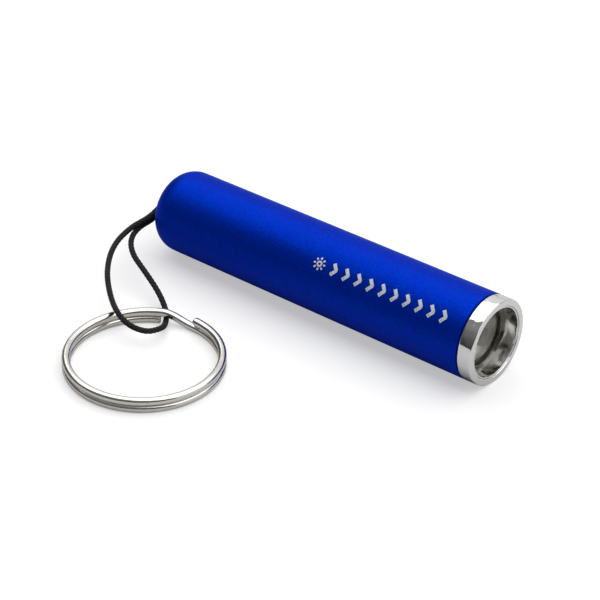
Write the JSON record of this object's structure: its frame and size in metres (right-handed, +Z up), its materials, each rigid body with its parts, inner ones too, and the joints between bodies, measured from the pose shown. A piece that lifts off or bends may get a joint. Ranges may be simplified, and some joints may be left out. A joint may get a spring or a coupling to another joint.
{
  "type": "keychain flashlight",
  "caption": "Small round keychain torch with a twist head, a domed lens in a bright rim, a round tail, and a cord loop that carries a split ring.",
  "frame": {"origin": "on the surface that the torch lies on, under the middle of the torch's length", "axes": "+X along the torch and out of the lens, +Z up, +Y to the torch's left seen from behind"},
  "size_m": [0.0656, 0.0491, 0.014],
  "materials": {
    "anodised_shell": "satin blue anodised",
    "bright_chrome": "polished",
    "bright_nickel": "polished nickel plate",
    "black_rubber": "matte",
    "black_plastic": "matte",
    "white_plastic": "matte",
    "clear_lens": "clear",
    "board_white": "white solder mask",
    "board_green": "green solder mask",
    "ceramic": "matte ceramic",
    "bare_aluminium": "turned",
    "red_insulation": "satin",
    "black_insulation": "satin",
    "ferrite": "matte",
    "chip_black": "matte",
    "brass": "bright",
    "cell_steel": "nickel plated",
    "electrode_paste": "packed powder",
    "cell_sleeve": "gloss",
    "spring_steel": "bright wire",
    "black_cord": "braided"
  },
  "bodies": {
    "shell": {"body_shell": "anodised_shell", "spring_seat": "brass", "tail_spring": "spring_steel"},
    "cell": {"cell_can": "cell_steel", "cell_core": "electrode_paste", "cell_jacket": "cell_sleeve", "cell_seal": "white_plastic", "cell_positive_cap": "cell_steel"},
    "head": {"bezel_ring": "bright_chrome", "head_o_ring": "black_rubber", "ground_ring": "brass", "lens_barrel": "bright_chrome", "lens_retainer": "black_plastic", "lens_seal": "black_rubber", "front_lens": "clear_lens", "lens_spacer": "white_plastic", "led_board": "board_white", "led_package": "ceramic", "led_dome": "clear_lens", "light_engine_housing": "bare_aluminium", "led_wire_positive": "red_insulation", "led_wire_negative": "black_insulation", "driver_board": "board_green", "driver_inductor": "ferrite", "driver_chip": "chip_black", "driver_diode": "chip_black", "driver_capacitor": "ceramic", "contact_pad": "brass"},
    "cord": {"cord_loop": "black_cord", "cord_knot": "black_cord"},
    "key_ring": {"split_ring": "bright_nickel"}
  },
  "joints": [
    {"name": "cell_follow", "type": "slide", "parent": "shell", "child": "cell", "axis": [1, 0, 0], "range_m": [-0.00019, 0.003], "deforming": ["tail_spring"]},
    {"name": "head_twist", "type": "hinge", "parent": "cell", "child": "head", "pos_m": [0.0305, 0, 0.007], "axis": [1, 0, 0], "range_deg": [-90.5, 1440.5]},
    {"name": "cord_swing", "type": "hinge", "parent": "shell", "child": "cord", "pos_m": [-0.031, 0, 0.007], "axis": [0, 0, 1], "range_deg": [-25, 10]},
    {"name": "ring_swing", "type": "hinge", "parent": "cord", "child": "key_ring", "pos_m": [-0.02099, -0.02077, 0.00125], "axis": [-0.7314, -0.682, 0], "range_deg": [0, 60]}
  ],
  "couplings": [
    {"joint": "head_twist", "follows": "cell_follow", "rad_per_m": 8377.6}
  ]
}
